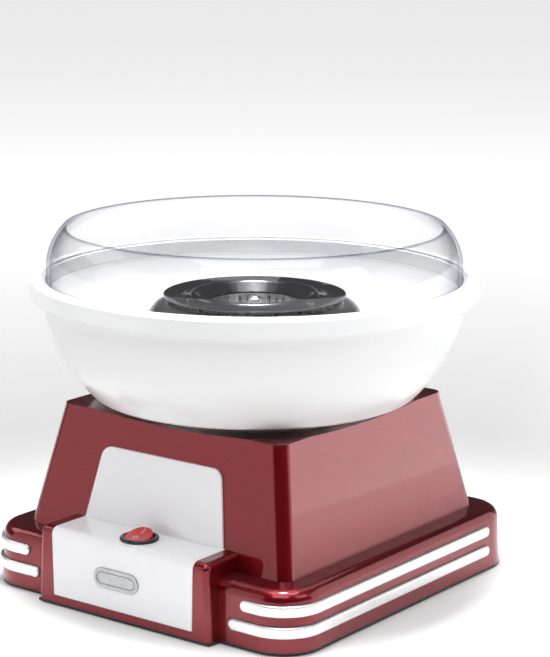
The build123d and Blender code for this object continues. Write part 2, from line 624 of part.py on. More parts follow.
def element_supports():
    """Ceramic saddles that hold the ring off the pan."""
    saddles = []
    for angle in SUPPORT_ANGLES:
        x, y = on_circle(ELEMENT_R, angle)
        post = disc(4.5, PAN_Z + PAN_T, ELEMENT_Z, x, y)
        groove = Pos(0, 0, ELEMENT_Z) * Torus(ELEMENT_R, ELEMENT_TUBE_R + 0.1)
        saddles.append(post - groove)
    return group(saddles, "element_supports")


def element_terminals():
    """Screw caps on the two ends of the ring heater."""
    caps = []
    for angle in ELEMENT_END_ANGLES:
        x, y = on_circle(ELEMENT_R, angle)
        cap = disc(3.2, PAN_Z - 9, PAN_Z - 6, x, y)
        cap += disc(1.6, PAN_Z - 12, PAN_Z - 9, x, y)
        caps.append(cap)
    return group(caps, "element_terminals")


def thermal_cutout():
    """Disc thermostat under the reflector pan."""
    body = disc(7.5, PAN_Z - 4.5, PAN_Z) + disc(5.5, PAN_Z - 8, PAN_Z - 4.5)
    for side in (-1, 1):
        body += box_between((side * 5 - 1.6, -1, PAN_Z - 11), (side * 5 + 1.6, -0.4, PAN_Z - 7.5))
    return Pos(*on_circle(50, 120), 0) * body


# ---- motor -------------------------------------------------------------
def motor_bracket():
    """Three-armed steel plate that hangs the motor from the collar's posts."""
    plate = Circle(24)
    for angle in POST_ANGLES:
        plate += Rot(0, 0, angle) * Pos(POST_R / 2, 0) * RectangleRounded(POST_R + 12, 13, 6)
    plate -= Circle(6.2)
    for angle in POST_ANGLES:
        plate -= Pos(*on_circle(POST_R, angle)) * Circle(3.6)
    for side in (-1, 1):
        plate -= Pos(0, side * 11) * Circle(1.7)
    return Pos(0, 0, BRACKET_Z) * extrude(plate, BRACKET_T)


def motor_grommets():
    """Rubber bushes that isolate the motor's shake from the collar."""
    bushes = []
    for angle in POST_ANGLES:
        x, y = on_circle(POST_R, angle)
        bush = ring(5.2, 1.7, POST_TOP_Z, BRACKET_Z, x, y)
        bush += ring(3.5, 1.7, BRACKET_Z, BRACKET_Z + BRACKET_T, x, y)
        bush += ring(5.2, 1.7, BRACKET_Z + BRACKET_T, BRACKET_Z + BRACKET_T + 1.8, x, y)
        bushes.append(bush)
    return group(bushes, "motor_grommets")


def bracket_screws():
    top = BRACKET_Z + BRACKET_T + 1.8
    screws = [Pos(*on_circle(POST_R, angle), top) * pan_screw(18, 1.25) for angle in POST_ANGLES]
    screws += [Pos(0, side * 11, BRACKET_Z + BRACKET_T) * pan_screw(4, 1.2) for side in (-1, 1)]
    return group(screws, "bracket_screws")


def motor_can():
    can = disc(MOTOR_R, MOTOR_BOTTOM_Z + 3, BRACKET_Z)
    can -= disc(MOTOR_R - MOTOR_WALL, MOTOR_BOTTOM_Z, BRACKET_Z - MOTOR_WALL)
    can += disc(BEARING_R + 1, BRACKET_Z, BRACKET_Z + BRACKET_T)
    can -= disc(BEARING_R, BRACKET_Z - 10, BRACKET_Z + 5)
    for side in (-1, 1):
        can -= disc(1.25, BRACKET_Z - 5, BRACKET_Z + 5, 0, side * 11)
    return can


def motor_magnets():
    """Two curved magnets inside the can."""
    outer_r = MOTOR_R - MOTOR_WALL - 0.1
    shell = ring(outer_r, ARMATURE_R + 0.6, MOTOR_BOTTOM_Z + 12, BRACKET_Z - 6)
    half = shell & box_between((0, -11, 0), (30, 11, CUT / 2))
    return group([half, mirror(half, Plane.YZ)], "motor_magnets")


def motor_end_cap():
    low = MOTOR_BOTTOM_Z
    cap = disc(MOTOR_R - MOTOR_WALL - 0.1, low, low + 6)
    cap += disc(MOTOR_R, low, low + 3)
    cap += disc(BEARING_R + 2, low - 2, low)
    cap -= disc(MOTOR_R - 4, low + 2.5, low + 10)
    cap -= disc(BEARING_R, low - 5, low + 5)
    return cap


def motor_brushes():
    """Carbon brushes on brass arms, either side of the commutator."""
    brushes = []
    for side in (-1, 1):
        low, high = sorted((side * 5.6, side * 11))
        block = box_between((low, -1.8, MOTOR_BOTTOM_Z + 4), (high, 1.8, MOTOR_BOTTOM_Z + 8))
        brushes.append(block)
    return group(brushes, "motor_brushes")


def motor_bearings():
    """Sintered bronze bushes at both ends of the motor."""
    bore_r = SHAFT_R + RUNNING_GAP
    low = ring(BEARING_R, bore_r, MOTOR_BOTTOM_Z - 2, MOTOR_BOTTOM_Z + 2.5)
    high = ring(BEARING_R, bore_r, BRACKET_Z - 3.5, BRACKET_Z + BRACKET_T)
    return group([low, high], "motor_bearings")


def drive_shaft():
    shaft = disc(SHAFT_R, SHAFT_BOTTOM_Z, SHAFT_TOP_Z)
    shaft -= Pos(0, 0, PIN_Z) * Rot(0, 90, 0) * Cylinder(PIN_R, 10)
    return chamfer(shaft.edges().filter_by(GeomType.CIRCLE).sort_by(Axis.Z)[0], 0.5)


def drive_pin():
    return Pos(0, 0, PIN_Z) * Rot(0, 90, 0) * Cylinder(PIN_R, PIN_LENGTH)


def armature_core():
    """Laminated core with slots for the windings."""
    low, high = MOTOR_BOTTOM_Z + 16, BRACKET_Z - 10
    core = ring(ARMATURE_R, SHAFT_R, low, high)
    for i in range(ARMATURE_POLES):
        slot = box_between((5.2, -2.2, low - 1), (10.6, 2.2, high + 1))
        slot += box_between((8, -0.8, low - 1), (20, 0.8, high + 1))
        core -= Rot(0, 0, 360 / ARMATURE_POLES * i) * slot
    return core


def armature_windings():
    """Copper wound round the core's teeth, with a head at each end."""
    low, high = MOTOR_BOTTOM_Z + 16, BRACKET_Z - 10
    outer_r, head_h = 10.4, 3.5
    ends = ring(outer_r, SHAFT_R + 1, high, high + head_h)
    ends += ring(outer_r, SHAFT_R + 1, low - head_h, low)
    outer_edges = ends.edges().filter_by(GeomType.CIRCLE).filter_by(lambda e: e.radius > outer_r - 0.1)
    ends = fillet(outer_edges, 1.4)
    for i in range(ARMATURE_POLES):
        coil = box_between((5.6, -1.9, low - 0.5), (10.2, 1.9, high + 0.5))
        ends += Rot(0, 0, 360 / ARMATURE_POLES * i) * coil
    return ends


def commutator():
    """Copper drum with a slit between each pair of bars."""
    drum = ring(5.4, SHAFT_R, MOTOR_BOTTOM_Z + 3.5, MOTOR_BOTTOM_Z + 11.5)
    for i in range(ARMATURE_POLES):
        slit = box_between((4.4, -0.25, MOTOR_BOTTOM_Z), (8, 0.25, MOTOR_BOTTOM_Z + 20))
        drum -= Rot(0, 0, 360 / ARMATURE_POLES * (i + 0.5)) * slit
    return drum


def cooling_fan():
    """Seven-bladed fan that blows up past the motor and keeps its heat down."""
    low, high = BRACKET_Z + 6, BRACKET_Z + 13
    blades = 7
    fan = ring(8.0, SHAFT_R, low, high)
    for i in range(blades):
        blade = Pos(21, 0, (low + high) / 2) * Rot(28, 0, 0) * Box(31, 11, 1.4)
        fan += Rot(0, 0, 360 / blades * i) * (blade & ring(36, 7.0, low, high))
    return fan


# ---- spinner head ------------------------------------------------------
def head_disc():
    """Dark saucer with a raised crest round the sugar well."""
    t = HEAD_SHEET
    rim_low = (HEAD_R, HEAD_RIM_Z - 0.8)
    well_low = (WELL_R, WELL_EDGE_Z - t)
    top = [ThreePointArc((HEAD_R, HEAD_RIM_Z), (50.5, 185.9), (42.2, 187.9)),
           ThreePointArc((42.2, 187.9), (39.6, CREST_Z), (37.2, 188.6)),
           Line((37.2, 188.6), (WELL_R, WELL_EDGE_Z)),
           Line((WELL_R, WELL_EDGE_Z), well_low),
           Line(well_low, (37.4, 188.4 - t)),
           ThreePointArc((37.4, 188.4 - t), (39.6, CREST_Z - 0.1 - t), (41.9, 187.8 - t)),
           ThreePointArc((41.9, 187.8 - t), (50.5, 185.9 - t), rim_low),
           Line(rim_low, (HEAD_R, HEAD_RIM_Z))]
    plate = revolve(Plane.XZ * make_face(Curve() + top), Axis.Z)
    for angle in HEAD_SCREW_ANGLES:
        x, y = on_circle(HEAD_SCREW_R, angle)
        plate += disc(3.4, CUP_TOP_Z, HEAD_SEAT_Z, x, y)
        plate -= disc(1.2, CUP_TOP_Z - 1, HEAD_SEAT_Z + 1, x, y)
        plate -= disc(2.5, HEAD_SEAT_Z, HEAD_SEAT_Z + 8, x, y)
    return plate


def sugar_cup():
    """Spun aluminium cup that holds the sugar, with windows in its wall."""
    t = 1.2
    wall_r = CUP_R - 0.4
    cup = turned([(HUB_R, CUP_FLOOR_Z), (wall_r - 1.1, CUP_FLOOR_Z), (wall_r, CUP_FLOOR_Z + 2),
                  (wall_r, CUP_TOP_Z), (wall_r - t, CUP_TOP_Z), (wall_r - t, CUP_FLOOR_Z + t),
                  (HUB_R, CUP_FLOOR_Z + t)])
    windows = 12
    for i in range(windows):
        window = box_between((CUP_R - 4, -6.5, CUP_FLOOR_Z + 4), (CUP_R + 1, 6.5, CUP_TOP_Z - 4))
        cup -= Rot(0, 0, 360 / windows * (i + 0.5)) * window
    for angle in HEAD_SCREW_ANGLES:
        ear = box_between((wall_r - 1, -4.5, CUP_TOP_Z - t), (HEAD_SCREW_R + 4, 4.5, CUP_TOP_Z))
        cup += Rot(0, 0, angle) * ear
        cup -= disc(1.2, CUP_TOP_Z - 5, CUP_TOP_Z + 5, *on_circle(HEAD_SCREW_R, angle))
    return cup


def melting_band():
    """Fine slotted band round the cup: the melted sugar leaves through it."""
    low, high = CUP_FLOOR_Z + 2.5, CUP_TOP_Z - 2.5
    band = ring(CUP_R + 0.3, CUP_R - 0.4, low, high)
    slots = 48
    for i in range(slots):
        slot = box_between((CUP_R - 3, -0.5, low + 3), (CUP_R + 3, 0.5, high - 3))
        band -= Rot(0, 0, 360 / slots * i) * slot
    return band


def head_screws():
    """Screws that hold the saucer on the cup's ears, with a nut under each."""
    screws = []
    for angle in HEAD_SCREW_ANGLES:
        x, y = on_circle(HEAD_SCREW_R, angle)
        screw = disc(2.4, HEAD_SEAT_Z, HEAD_SEAT_Z + 1.0, x, y)
        screw += disc(1.15, CUP_TOP_Z - 3, HEAD_SEAT_Z, x, y)
        screw += disc(2.3, CUP_TOP_Z - 2.8, CUP_TOP_Z - 1.2, x, y)
        screws.append(screw)
    return group(screws, "head_screws")


def head_hub():
    """Hub that drops over the shaft; the cross pin drives its slot."""
    hub = turned([(0, CUP_FLOOR_Z - 3.5), (HUB_R + 3, CUP_FLOOR_Z - 3.5), (HUB_R + 3, CUP_FLOOR_Z),
                  (HUB_R, CUP_FLOOR_Z), (HUB_R, 178), (5.0, 185), (3.0, 186.2), (0, 186.2)])
    hub -= disc(SHAFT_R + RUNNING_GAP, CUP_FLOOR_Z - 10, SHAFT_TOP_Z)
    slot_half = PIN_R + 0.15
    hub -= box_between((-12, -slot_half, CUP_FLOOR_Z - 10), (12, slot_half, PIN_Z + PIN_R + 0.15))
    return hub


def hub_nut():
    """Ring nut that clamps the cup's floor on the hub."""
    nut = Pos(0, 0, CUP_FLOOR_Z + 1.2) * extrude(RegularPolygon(10.5, 6), 3.0)
    nut -= disc(HUB_R, CUP_FLOOR_Z, CUP_FLOOR_Z + 10)
    return nut


# ---- underside, electrics and fasteners --------------------------------
def cover_outline(tray_inset, block_inset):
    """Outline of tray and control block together, drawn in by two amounts."""
    half = TRAY_HALF_BOTTOM - tray_inset
    plate = RectangleRounded(2 * half, 2 * half, TRAY_CORNER_R - tray_inset)
    block_half = BLOCK_HALF_BOTTOM - block_inset
    tongue_low = BLOCK_FRONT_Y + block_inset
    plate += Pos(0, (tongue_low - 100) / 2) * Rectangle(2 * block_half, -100 - tongue_low)
    return plate


def bottom_cover():
    """Dark floor plate in two steps: one closes the casings from below, one fits inside."""
    step = cover_outline(WALL + COVER_FIT, BLOCK_WALL + COVER_FIT)
    cover = Pos(0, 0, COVER_Z) * extrude(step, COVER_T)
    cheek = box_between((BLOCK_HALF_BOTTOM - BLOCK_WALL - COVER_FIT, -130, 0),
                        (BLOCK_HALF_BOTTOM + 0.5, CHEEK_REAR_Y + 0.5, 20))
    cover -= cheek + mirror(cheek, Plane.YZ)
    rim = cover_outline(COVER_STEP_INSET, COVER_STEP_INSET)
    cover += Pos(0, 0, COVER_Z) * extrude(rim, TRAY_BOTTOM_Z - COVER_Z)
    for x, y in COVER_SCREWS:
        cover -= disc(1.8, 0, 20, x, y)
        cover -= Pos(x, y, COVER_Z) * turned([(0, -1), (3.6, -1), (3.6, 0), (1.7, 1.9), (0, 1.9)])
    for sx in (-1, 1):
        for sy in (-1, 1):
            cover -= disc(3.6, 0, 20, sx * FOOT_XY, sy * FOOT_XY)
    for i in range(9):
        y = -52 + 9 * i
        cover -= Pos(0, y, COVER_Z - 5) * extrude(SlotOverall(60 if i % 2 else 48, 3.2), 20)
    for x, y in board_screw_places():
        cover += ring(3.2, 1.2, COVER_Z + COVER_T - 0.5, BOARD_Z, x, y)
    return cover


def rubber_feet():
    feet = []
    for sx in (-1, 1):
        for sy in (-1, 1):
            foot = turned([(0, 0), (FOOT_R - 0.4, 0), (FOOT_R, 0.4), (FOOT_R, COVER_Z), (3.5, COVER_Z),
                           (3.5, COVER_Z + COVER_T), (4.6, COVER_Z + COVER_T), (2.6, COVER_Z + COVER_T + 4),
                           (0, COVER_Z + COVER_T + 4)])
            feet.append(Pos(sx * FOOT_XY, sy * FOOT_XY, 0) * foot)
    return group(feet, "rubber_feet")


def cover_screws():
    screws = [Pos(x, y, COVER_Z + 0.1) * countersunk_screw(12, 1.25, 3.2, 1.8) for x, y in COVER_SCREWS]
    return group(screws, "cover_screws")


def housing_screws():
    screws = []
    for x, y in housing_screw_places():
        screws.append(Pos(x, y, DECK_Z - WALL) * Rot(180, 0, 0) * pan_screw(11, 1.25))
    return group(screws, "housing_screws")


def collar_screws():
    screws = []
    for angle in POST_ANGLES:
        place = (*on_circle(COLLAR_SCREW_R, angle), DISH_FLOOR_Z - ROOF)
        screws.append(Pos(*place) * Rot(180, 0, 0) * pan_screw(5, 1.25))
    return group(screws, "collar_screws")


def cord_gland():
    """Moulded inlet in the rear wall; the mains lead would pass through it."""
    wall_y = tray_half(GLAND_Z)
    points = [(GLAND_BORE_R, -6), (7.6, -6), (7.6, -3.4), (5.9, -3.4), (5.9, 0.4), (8.4, 0.4),
              (8.4, 2.2), (6.2, 8), (GLAND_BORE_R, 8)]
    return Pos(GLAND_X, wall_y, GLAND_Z) * Rot(-90, 0, 0) * turned(points)


def board_screw_places():
    cx, cy = BOARD_CENTRE
    return [(cx + sx * 26, cy + sy * 19) for sx in (-1, 1) for sy in (-1, 1)]


def circuit_board():
    board = Pos(*BOARD_CENTRE, BOARD_Z) * extrude(RectangleRounded(60, 46, 2), BOARD_T)
    for x, y in board_screw_places():
        board -= disc(1.5, 0, 30, x, y)
    return board


def board_screws():
    places = board_screw_places()
    return group([Pos(x, y, BOARD_Z + BOARD_T) * pan_screw(7, 1.15, 2.6, 1.6) for x, y in places],
                 "board_screws")


def bridge_rectifier():
    body = box_between((-20, 42, BOARD_Z + BOARD_T), (-5, 46, BOARD_Z + BOARD_T + 14))
    return chamfer(body.edges().filter_by(Axis.Y).sort_by(Axis.Z)[-1], 3)


def capacitor():
    can = disc(6.5, BOARD_Z + BOARD_T, BOARD_Z + BOARD_T + 20, 10, 60)
    return fillet(can.edges().filter_by(GeomType.CIRCLE).sort_by(Axis.Z)[-1], 1.0)


def terminal_block():
    """Four-way screw terminal at the edge of the board."""
    low = BOARD_Z + BOARD_T
    block = box_between((-14, 29, low), (14, 38, low + 10))
    for i in range(4):
        x = -10.5 + 7 * i
        block -= disc(2.0, low + 6, low + 20, x, 35)
        block -= Pos(x, 29, low + 3.4) * Rot(90, 0, 0) * Cylinder(1.6, 12)
    return block


def heater_leads():
    """Two leads from the heater's terminals down to the board."""
    leads = []
    for angle, side in zip(ELEMENT_END_ANGLES, (1, -1)):
        ex, ey = on_circle(ELEMENT_R, angle)
        start_z = PAN_Z - 12
        points = [(ex, ey, start_z), (ex, ey, start_z - 22), (ex + side * 2, 44, 100),
                  (ex + side * 3, 26, 60), (side * 3.5, 12, 26),
                  (side * 3.5, 25, BOARD_Z + BOARD_T + 3.4)]
        leads.append(wire_along(points, LEAD_R))
    return group(leads, "heater_leads")


def motor_leads():
    """Two leads from the motor's end cap down to the board."""
    leads = []
    for x, end_x in ((11, 10.5), (-11, -10.5)):
        points = [(x, 0, MOTOR_BOTTOM_Z), (x, 0, 70), (x * 1.4, 8, 45), (end_x, 14, 24),
                  (end_x, 25, BOARD_Z + BOARD_T + 3.4)]
        leads.append(wire_along(points, LEAD_R))
    return group(leads, "motor_leads")


def switch_lead():
    """Lead from the switch's rear terminal to the board."""
    points = [(SWITCH_X, SWITCH_Y + 4, BLOCK_TOP_Z - 28.3), (SWITCH_X, SWITCH_Y + 5, BLOCK_TOP_Z - 40),
              (-12, -80, 9), (-22, -40, 9), (-22, 0, 11), (-18, 24, BOARD_Z + BOARD_T + 1)]
    return wire_along(points, LEAD_R)


# ---- build -------------------------------------------------------------
def all_pieces():
    right_upper = trim_strip(STRIP_UPPER_Z, STRIP_UPPER_START)
    right_lower = trim_strip(STRIP_LOWER_Z, STRIP_LOWER_START)
    pieces = {
        "trim_strip_upper_right": right_upper,
        "trim_strip_lower_right": right_lower,
        "trim_strip_upper_left": mirror(right_upper, Plane.YZ),
        "trim_strip_lower_left": mirror(right_lower, Plane.YZ),
    }
    makers = (base_tray, upper_housing, front_block, front_fascia, badge_plate,
              switch_body, switch_terminals, switch_rocker,
              bowl, splash_guard, heater_housing, reflector_pan, heating_element,
              element_supports, element_terminals, thermal_cutout,
              motor_bracket, motor_grommets, bracket_screws, motor_can, motor_magnets,
              motor_end_cap, motor_brushes, motor_bearings,
              drive_shaft, drive_pin, armature_core, armature_windings, commutator, cooling_fan,
              head_disc, sugar_cup, melting_band, head_screws, head_hub, hub_nut,
              bottom_cover, rubber_feet, cover_screws, housing_screws, collar_screws,
              cord_gland, circuit_board, board_screws, bridge_rectifier, capacitor,
              terminal_block, heater_leads, motor_leads, switch_lead)
    for maker in makers:
        pieces[maker.__name__] = maker()
    return pieces


if __name__ == "__main__":
    os.makedirs("parts", exist_ok=True)
    for name, piece in all_pieces().items():
        export_step(piece, f"parts/{name}.step")
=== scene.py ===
import json
import math

import bpy
from mathutils import Matrix, Vector
from mathutils.bvhtree import BVHTree


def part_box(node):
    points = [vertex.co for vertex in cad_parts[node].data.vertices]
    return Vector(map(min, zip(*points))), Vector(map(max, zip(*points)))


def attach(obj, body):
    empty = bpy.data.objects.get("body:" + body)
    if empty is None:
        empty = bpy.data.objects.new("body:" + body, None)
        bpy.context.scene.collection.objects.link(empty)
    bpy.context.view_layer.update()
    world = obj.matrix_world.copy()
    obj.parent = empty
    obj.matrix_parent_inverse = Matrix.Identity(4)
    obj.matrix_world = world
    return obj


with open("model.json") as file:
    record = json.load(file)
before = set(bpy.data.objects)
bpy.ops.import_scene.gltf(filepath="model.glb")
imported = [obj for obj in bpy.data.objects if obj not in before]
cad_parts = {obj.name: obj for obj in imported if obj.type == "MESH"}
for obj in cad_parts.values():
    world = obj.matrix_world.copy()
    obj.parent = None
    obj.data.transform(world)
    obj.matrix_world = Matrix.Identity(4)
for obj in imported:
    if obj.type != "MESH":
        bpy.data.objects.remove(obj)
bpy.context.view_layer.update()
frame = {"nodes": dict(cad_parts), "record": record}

NODES = frame["nodes"]

# ---------------------------------------------------------------- camera
AZIMUTH = math.radians(37.61)       # where the camera stands round the machine
AIM = math.radians(37.07)           # the way it looks
PITCH = math.radians(12.22)
ROLL = math.radians(0.23)
DISTANCE = 1.4117
HEIGHT = 0.47041
LENS = 121.2
SENSOR_WIDTH = 36

# ---------------------------------------------------------------- looks
# own copies for single pieces: a lighter white on the fascia (painted light) and a darker silver on
# the badge (painted shade)
OWN_FINISH = {"front_fascia": "fascia_white_lit", "badge_plate": "badge_silver_shaded"}
FLAKES_PER_METRE = 3200             # metal flake in the red lacquer
# painted shade: grey laid on the cut edge of the guard's lip, in place of the light bent and
# reflected inside that edge
LIP_SHADE_DEPTH = 0.0016                   # how deep the cut edge of the guard's lip shows grey
LIP_PAINTED_SHADE = (0.60, 0.60, 0.645)
# painted shade: the see-through colour is nearly clear face-on and greys toward edge-on, standing in
# for darker reflections and bent light
GUARD_EDGE_SHADE = [(0.0, (0.985, 0.985, 0.99)), (0.6, (0.955, 0.955, 0.96)), (0.8, (0.82, 0.82, 0.845)),
              (0.92, (0.60, 0.60, 0.64)), (1.0, (0.36, 0.36, 0.41))]    # from face-on to edge-on
GUARD_GLOSS = (0.03, 0.30)          # share of gloss, from face-on to edge-on

# ---------------------------------------------------------------- printed marks and the badge's painted shade line
PRINT_AND_SHADE_HEIGHT = 0.00005
O_RADIUS, I_LENGTH, MARK_WIDTH = 0.0018, 0.0052, 0.00045
MARK_OFFSET = 0.0038                # each mark's middle, from the pivot towards its end
CIRCLE_STEPS, STROKE_STEPS, ARC_STEPS = 40, 8, 16
# painted shade: dark line where the badge's recessed field meets its border, in place of the shade in
# that step
BADGE_SHADE_INSET, BADGE_SHADE_WIDTH, BADGE_RECESS = 0.0026, 0.0004, 0.0003

# ---------------------------------------------------------------- studio
FLOOR_HALF = 12.0
FLOOR_WHITE = 0.84
SWEEP_START, SWEEP_END, SWEEP_GLOW = 0.30, 1.5, 0.78    # glow by distance from the machine
SIDE_WAY = (0.90, 0.43, 0)          # more glow on this side, which the right face mirrors
SIDE_START, SIDE_END, SIDE_GLOW = 0.12, 1.1, 0.9
WALL_WAY = (-0.70, 0.70, 0.15)      # towards the bright part of the surroundings
WALL_START, WALL_END, WALL_DARK = -0.75, 0.55, 0.015
FULL_SPREAD = 180
LIGHTS = [                          # name, place, size, radiance, target, spread in degrees
    ("light_top", (0.1, -0.1, 1.9), (1.6, 1.6), 3.0, (0, 0, 0.1), FULL_SPREAD),
    ("light_bowl", (0.0, 0.0, 0.85), (0.26, 0.26), 4.6, (0, 0, 0.1), 40),
    ("light_front", (0.7, -1.3, 1.7), (1.4, 0.8), 3.1, (0, 0, 0.15), FULL_SPREAD),
    ("light_right", (1.1, 1.25, 0.6), (1.8, 1.3), 1.14, (0, 0, 0.6), FULL_SPREAD),
    ("light_left", (-1.0, -1.4, 0.6), (1.4, 1.2), 0.90, (0, 0, 0.6), FULL_SPREAD),
    ("light_left_high", (-1.5, -0.4, 1.2), (0.9, 0.7), 2.2, (0, 0, 0.12), FULL_SPREAD),
    ("light_right_high", (1.5, 0.0, 1.2), (0.9, 0.7), 2.2, (0, 0, 0.12), FULL_SPREAD),
]


# ---------------------------------------------------------------- camera set-up
def make_camera():
    """Camera at the view's place, built from its own right, up and forward directions."""
    cam = bpy.data.objects.new("camera", bpy.data.cameras.new("camera"))
    bpy.context.scene.collection.objects.link(cam)
    place = Vector((DISTANCE * math.sin(AZIMUTH), -DISTANCE * math.cos(AZIMUTH), HEIGHT))
    level = math.cos(PITCH)
    forward = Vector((-math.sin(AIM) * level, math.cos(AIM) * level, -math.sin(PITCH)))
    right = Vector((math.cos(AIM), math.sin(AIM), 0))
    up = right.cross(forward)
    side = math.cos(ROLL) * right + math.sin(ROLL) * up
    top = -math.sin(ROLL) * right + math.cos(ROLL) * up
    rows = Matrix((side, top, -forward)).transposed()
    cam.matrix_world = Matrix.Translation(place) @ rows.to_4x4()
    cam.data.sensor_width = SENSOR_WIDTH
    cam.data.lens = LENS
    cam.data.clip_start, cam.data.clip_end = 0.05, 50
    bpy.context.scene.camera = cam


# ---------------------------------------------------------------- nodes for materials
def new_material(name):
    m = bpy.data.materials.new(name)
    m.use_nodes = True
    tree = m.node_tree
    return m, tree, tree.nodes["Principled BSDF"]


def object_coords(tree):
    """Positions on the object, in metres in the shared frame."""
    return tree.nodes.new("ShaderNodeTexCoord").outputs["Object"]


def noise(tree, scale, detail=3.0, roughness=0.5, stretch=None):
    """Noise value over the object, with the scale in features per metre."""
    node = tree.nodes.new("ShaderNodeTexNoise")
    node.inputs["Scale"].default_value = scale
    node.inputs["Detail"].default_value = detail
    node.inputs["Roughness"].default_value = roughness
    source = object_coords(tree)
    if stretch:
        mapping = tree.nodes.new("ShaderNodeMapping")
        mapping.inputs["Scale"].default_value = stretch
        tree.links.new(source, mapping.inputs["Vector"])
        source = mapping.outputs["Vector"]
    tree.links.new(source, node.inputs["Vector"])
    return node.outputs["Fac"]


def ramp(tree, value, stops):
    """Colour ramp from (position, colour) stops."""
    node = tree.nodes.new("ShaderNodeValToRGB")
    elements = node.color_ramp.elements
    while len(elements) < len(stops):
        elements.new(0.5)
    for element, (position, colour) in zip(elements, stops):
        element.position = position
        element.color = (*colour, 1)
    tree.links.new(value, node.inputs["Fac"])
    return node.outputs["Color"]


def map_range(tree, value, start, end, low, high):
    """The value moved from start..end to low..high."""
    node = tree.nodes.new("ShaderNodeMapRange")
    for socket, number in (("From Min", start), ("From Max", end), ("To Min", low), ("To Max", high)):
        node.inputs[socket].default_value = number
    tree.links.new(value, node.inputs["Value"])
    return node


def spread(tree, value, low, high):
    """A noise value, which keeps mostly to 0.3..0.7, moved to low..high."""
    return map_range(tree, value, 0.3, 0.7, low, high).outputs["Result"]


def bump(tree, height, strength, distance):
    """Surface normal for a relief of the given distance in metres."""
    node = tree.nodes.new("ShaderNodeBump")
    node.inputs["Strength"].default_value = strength
    node.inputs["Distance"].default_value = distance
    tree.links.new(height, node.inputs["Height"])
    return node.outputs["Normal"]


def set_sockets(shader, **values):
    """Sets uniform values straight on the shader's sockets."""
    names = {"color": "Base Color", "metallic": "Metallic", "roughness": "Roughness",
             "coat": "Coat Weight", "coat_roughness": "Coat Roughness", "coat_ior": "Coat IOR",
             "specular": "Specular IOR Level", "subsurface": "Subsurface Weight"}
    for key, value in values.items():
        if key == "color":
            value = (*value, 1)
        shader.inputs[names[key]].default_value = value


def link_surface(tree, shader, colour, rough, normal):
    """Feeds the shader's base colour, roughness and normal."""
    tree.links.new(colour, shader.inputs["Base Color"])
    tree.links.new(rough, shader.inputs["Roughness"])
    tree.links.new(normal, shader.inputs["Normal"])


# ---------------------------------------------------------------- materials
def candy_red():
    """Metallic red lacquer: fine flake under a clear coat with a faint ripple."""
    m, tree, shader = new_material("candy_red")
    set_sockets(shader, metallic=0.88, coat=1.0, coat_roughness=0.02, coat_ior=1.5)
    flake = tree.nodes.new("ShaderNodeTexVoronoi")
    flake.inputs["Scale"].default_value = FLAKES_PER_METRE
    tree.links.new(object_coords(tree), flake.inputs["Vector"])
    split = tree.nodes.new("ShaderNodeSeparateColor")
    tree.links.new(flake.outputs["Color"], split.inputs["Color"])
    reds = [(0.0, (0.19, 0.0035, 0.010)), (0.6, (0.225, 0.0045, 0.012)), (1.0, (0.275, 0.007, 0.016))]
    link_surface(tree, shader,
                 ramp(tree, split.outputs["Red"], reds),
                 spread(tree, noise(tree, 90, 4), 0.36, 0.44),
                 bump(tree, split.outputs["Green"], 0.06, 0.0001))
    tree.links.new(bump(tree, noise(tree, 220, 2), 0.035, 0.0003), shader.inputs["Coat Normal"])
    return m


def white_plastic(name, tint, coat, rough_low=0.13, rough_high=0.20):
    """Glossy white moulding with a faint ripple and a trace of handling haze."""
    m, tree, shader = new_material(name)
    set_sockets(shader, specular=0.5, subsurface=0.05, coat=coat, coat_roughness=0.04)
    shader.inputs["Subsurface Radius"].default_value = (0.004, 0.004, 0.0035)
    shader.inputs["Subsurface Scale"].default_value = 0.5
    darker = tuple(0.994 * c for c in tint)
    link_surface(tree, shader,
                 ramp(tree, noise(tree, 24, 3), [(0.35, darker), (0.65, tint)]),
                 spread(tree, noise(tree, 60, 5), rough_low, rough_high),
                 bump(tree, noise(tree, 160, 2), 0.03, 0.0003))
    return m


def satin_silver(name, dark, light):
    """Plated trim: bright, with very fine scratches along its length."""
    m, tree, shader = new_material(name)
    set_sockets(shader, metallic=0.75, coat=0.1, coat_roughness=0.08)
    streaks = noise(tree, 260, 4, 0.6, (1, 1, 9))
    link_surface(tree, shader,
                 ramp(tree, streaks, [(0.3, dark), (0.7, light)]),
                 spread(tree, streaks, 0.26, 0.36),
                 bump(tree, noise(tree, 900, 3, 0.6, (1, 1, 6)), 0.05, 0.0001))
    return m


def lip_shade_mask(tree):
    """Mask for the painted shade on the lip: runs from 0 on the guard's wall to 1 on the cut edge of
    its lip.
    """
    place = tree.nodes.new("ShaderNodeSeparateXYZ")
    tree.links.new(object_coords(tree), place.inputs["Vector"])
    lip_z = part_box("splash_guard")[1][2]
    fade = map_range(tree, place.outputs["Z"], lip_z - LIP_SHADE_DEPTH, lip_z - 0.4 * LIP_SHADE_DEPTH, 0, 1)
    return fade.outputs["Result"]


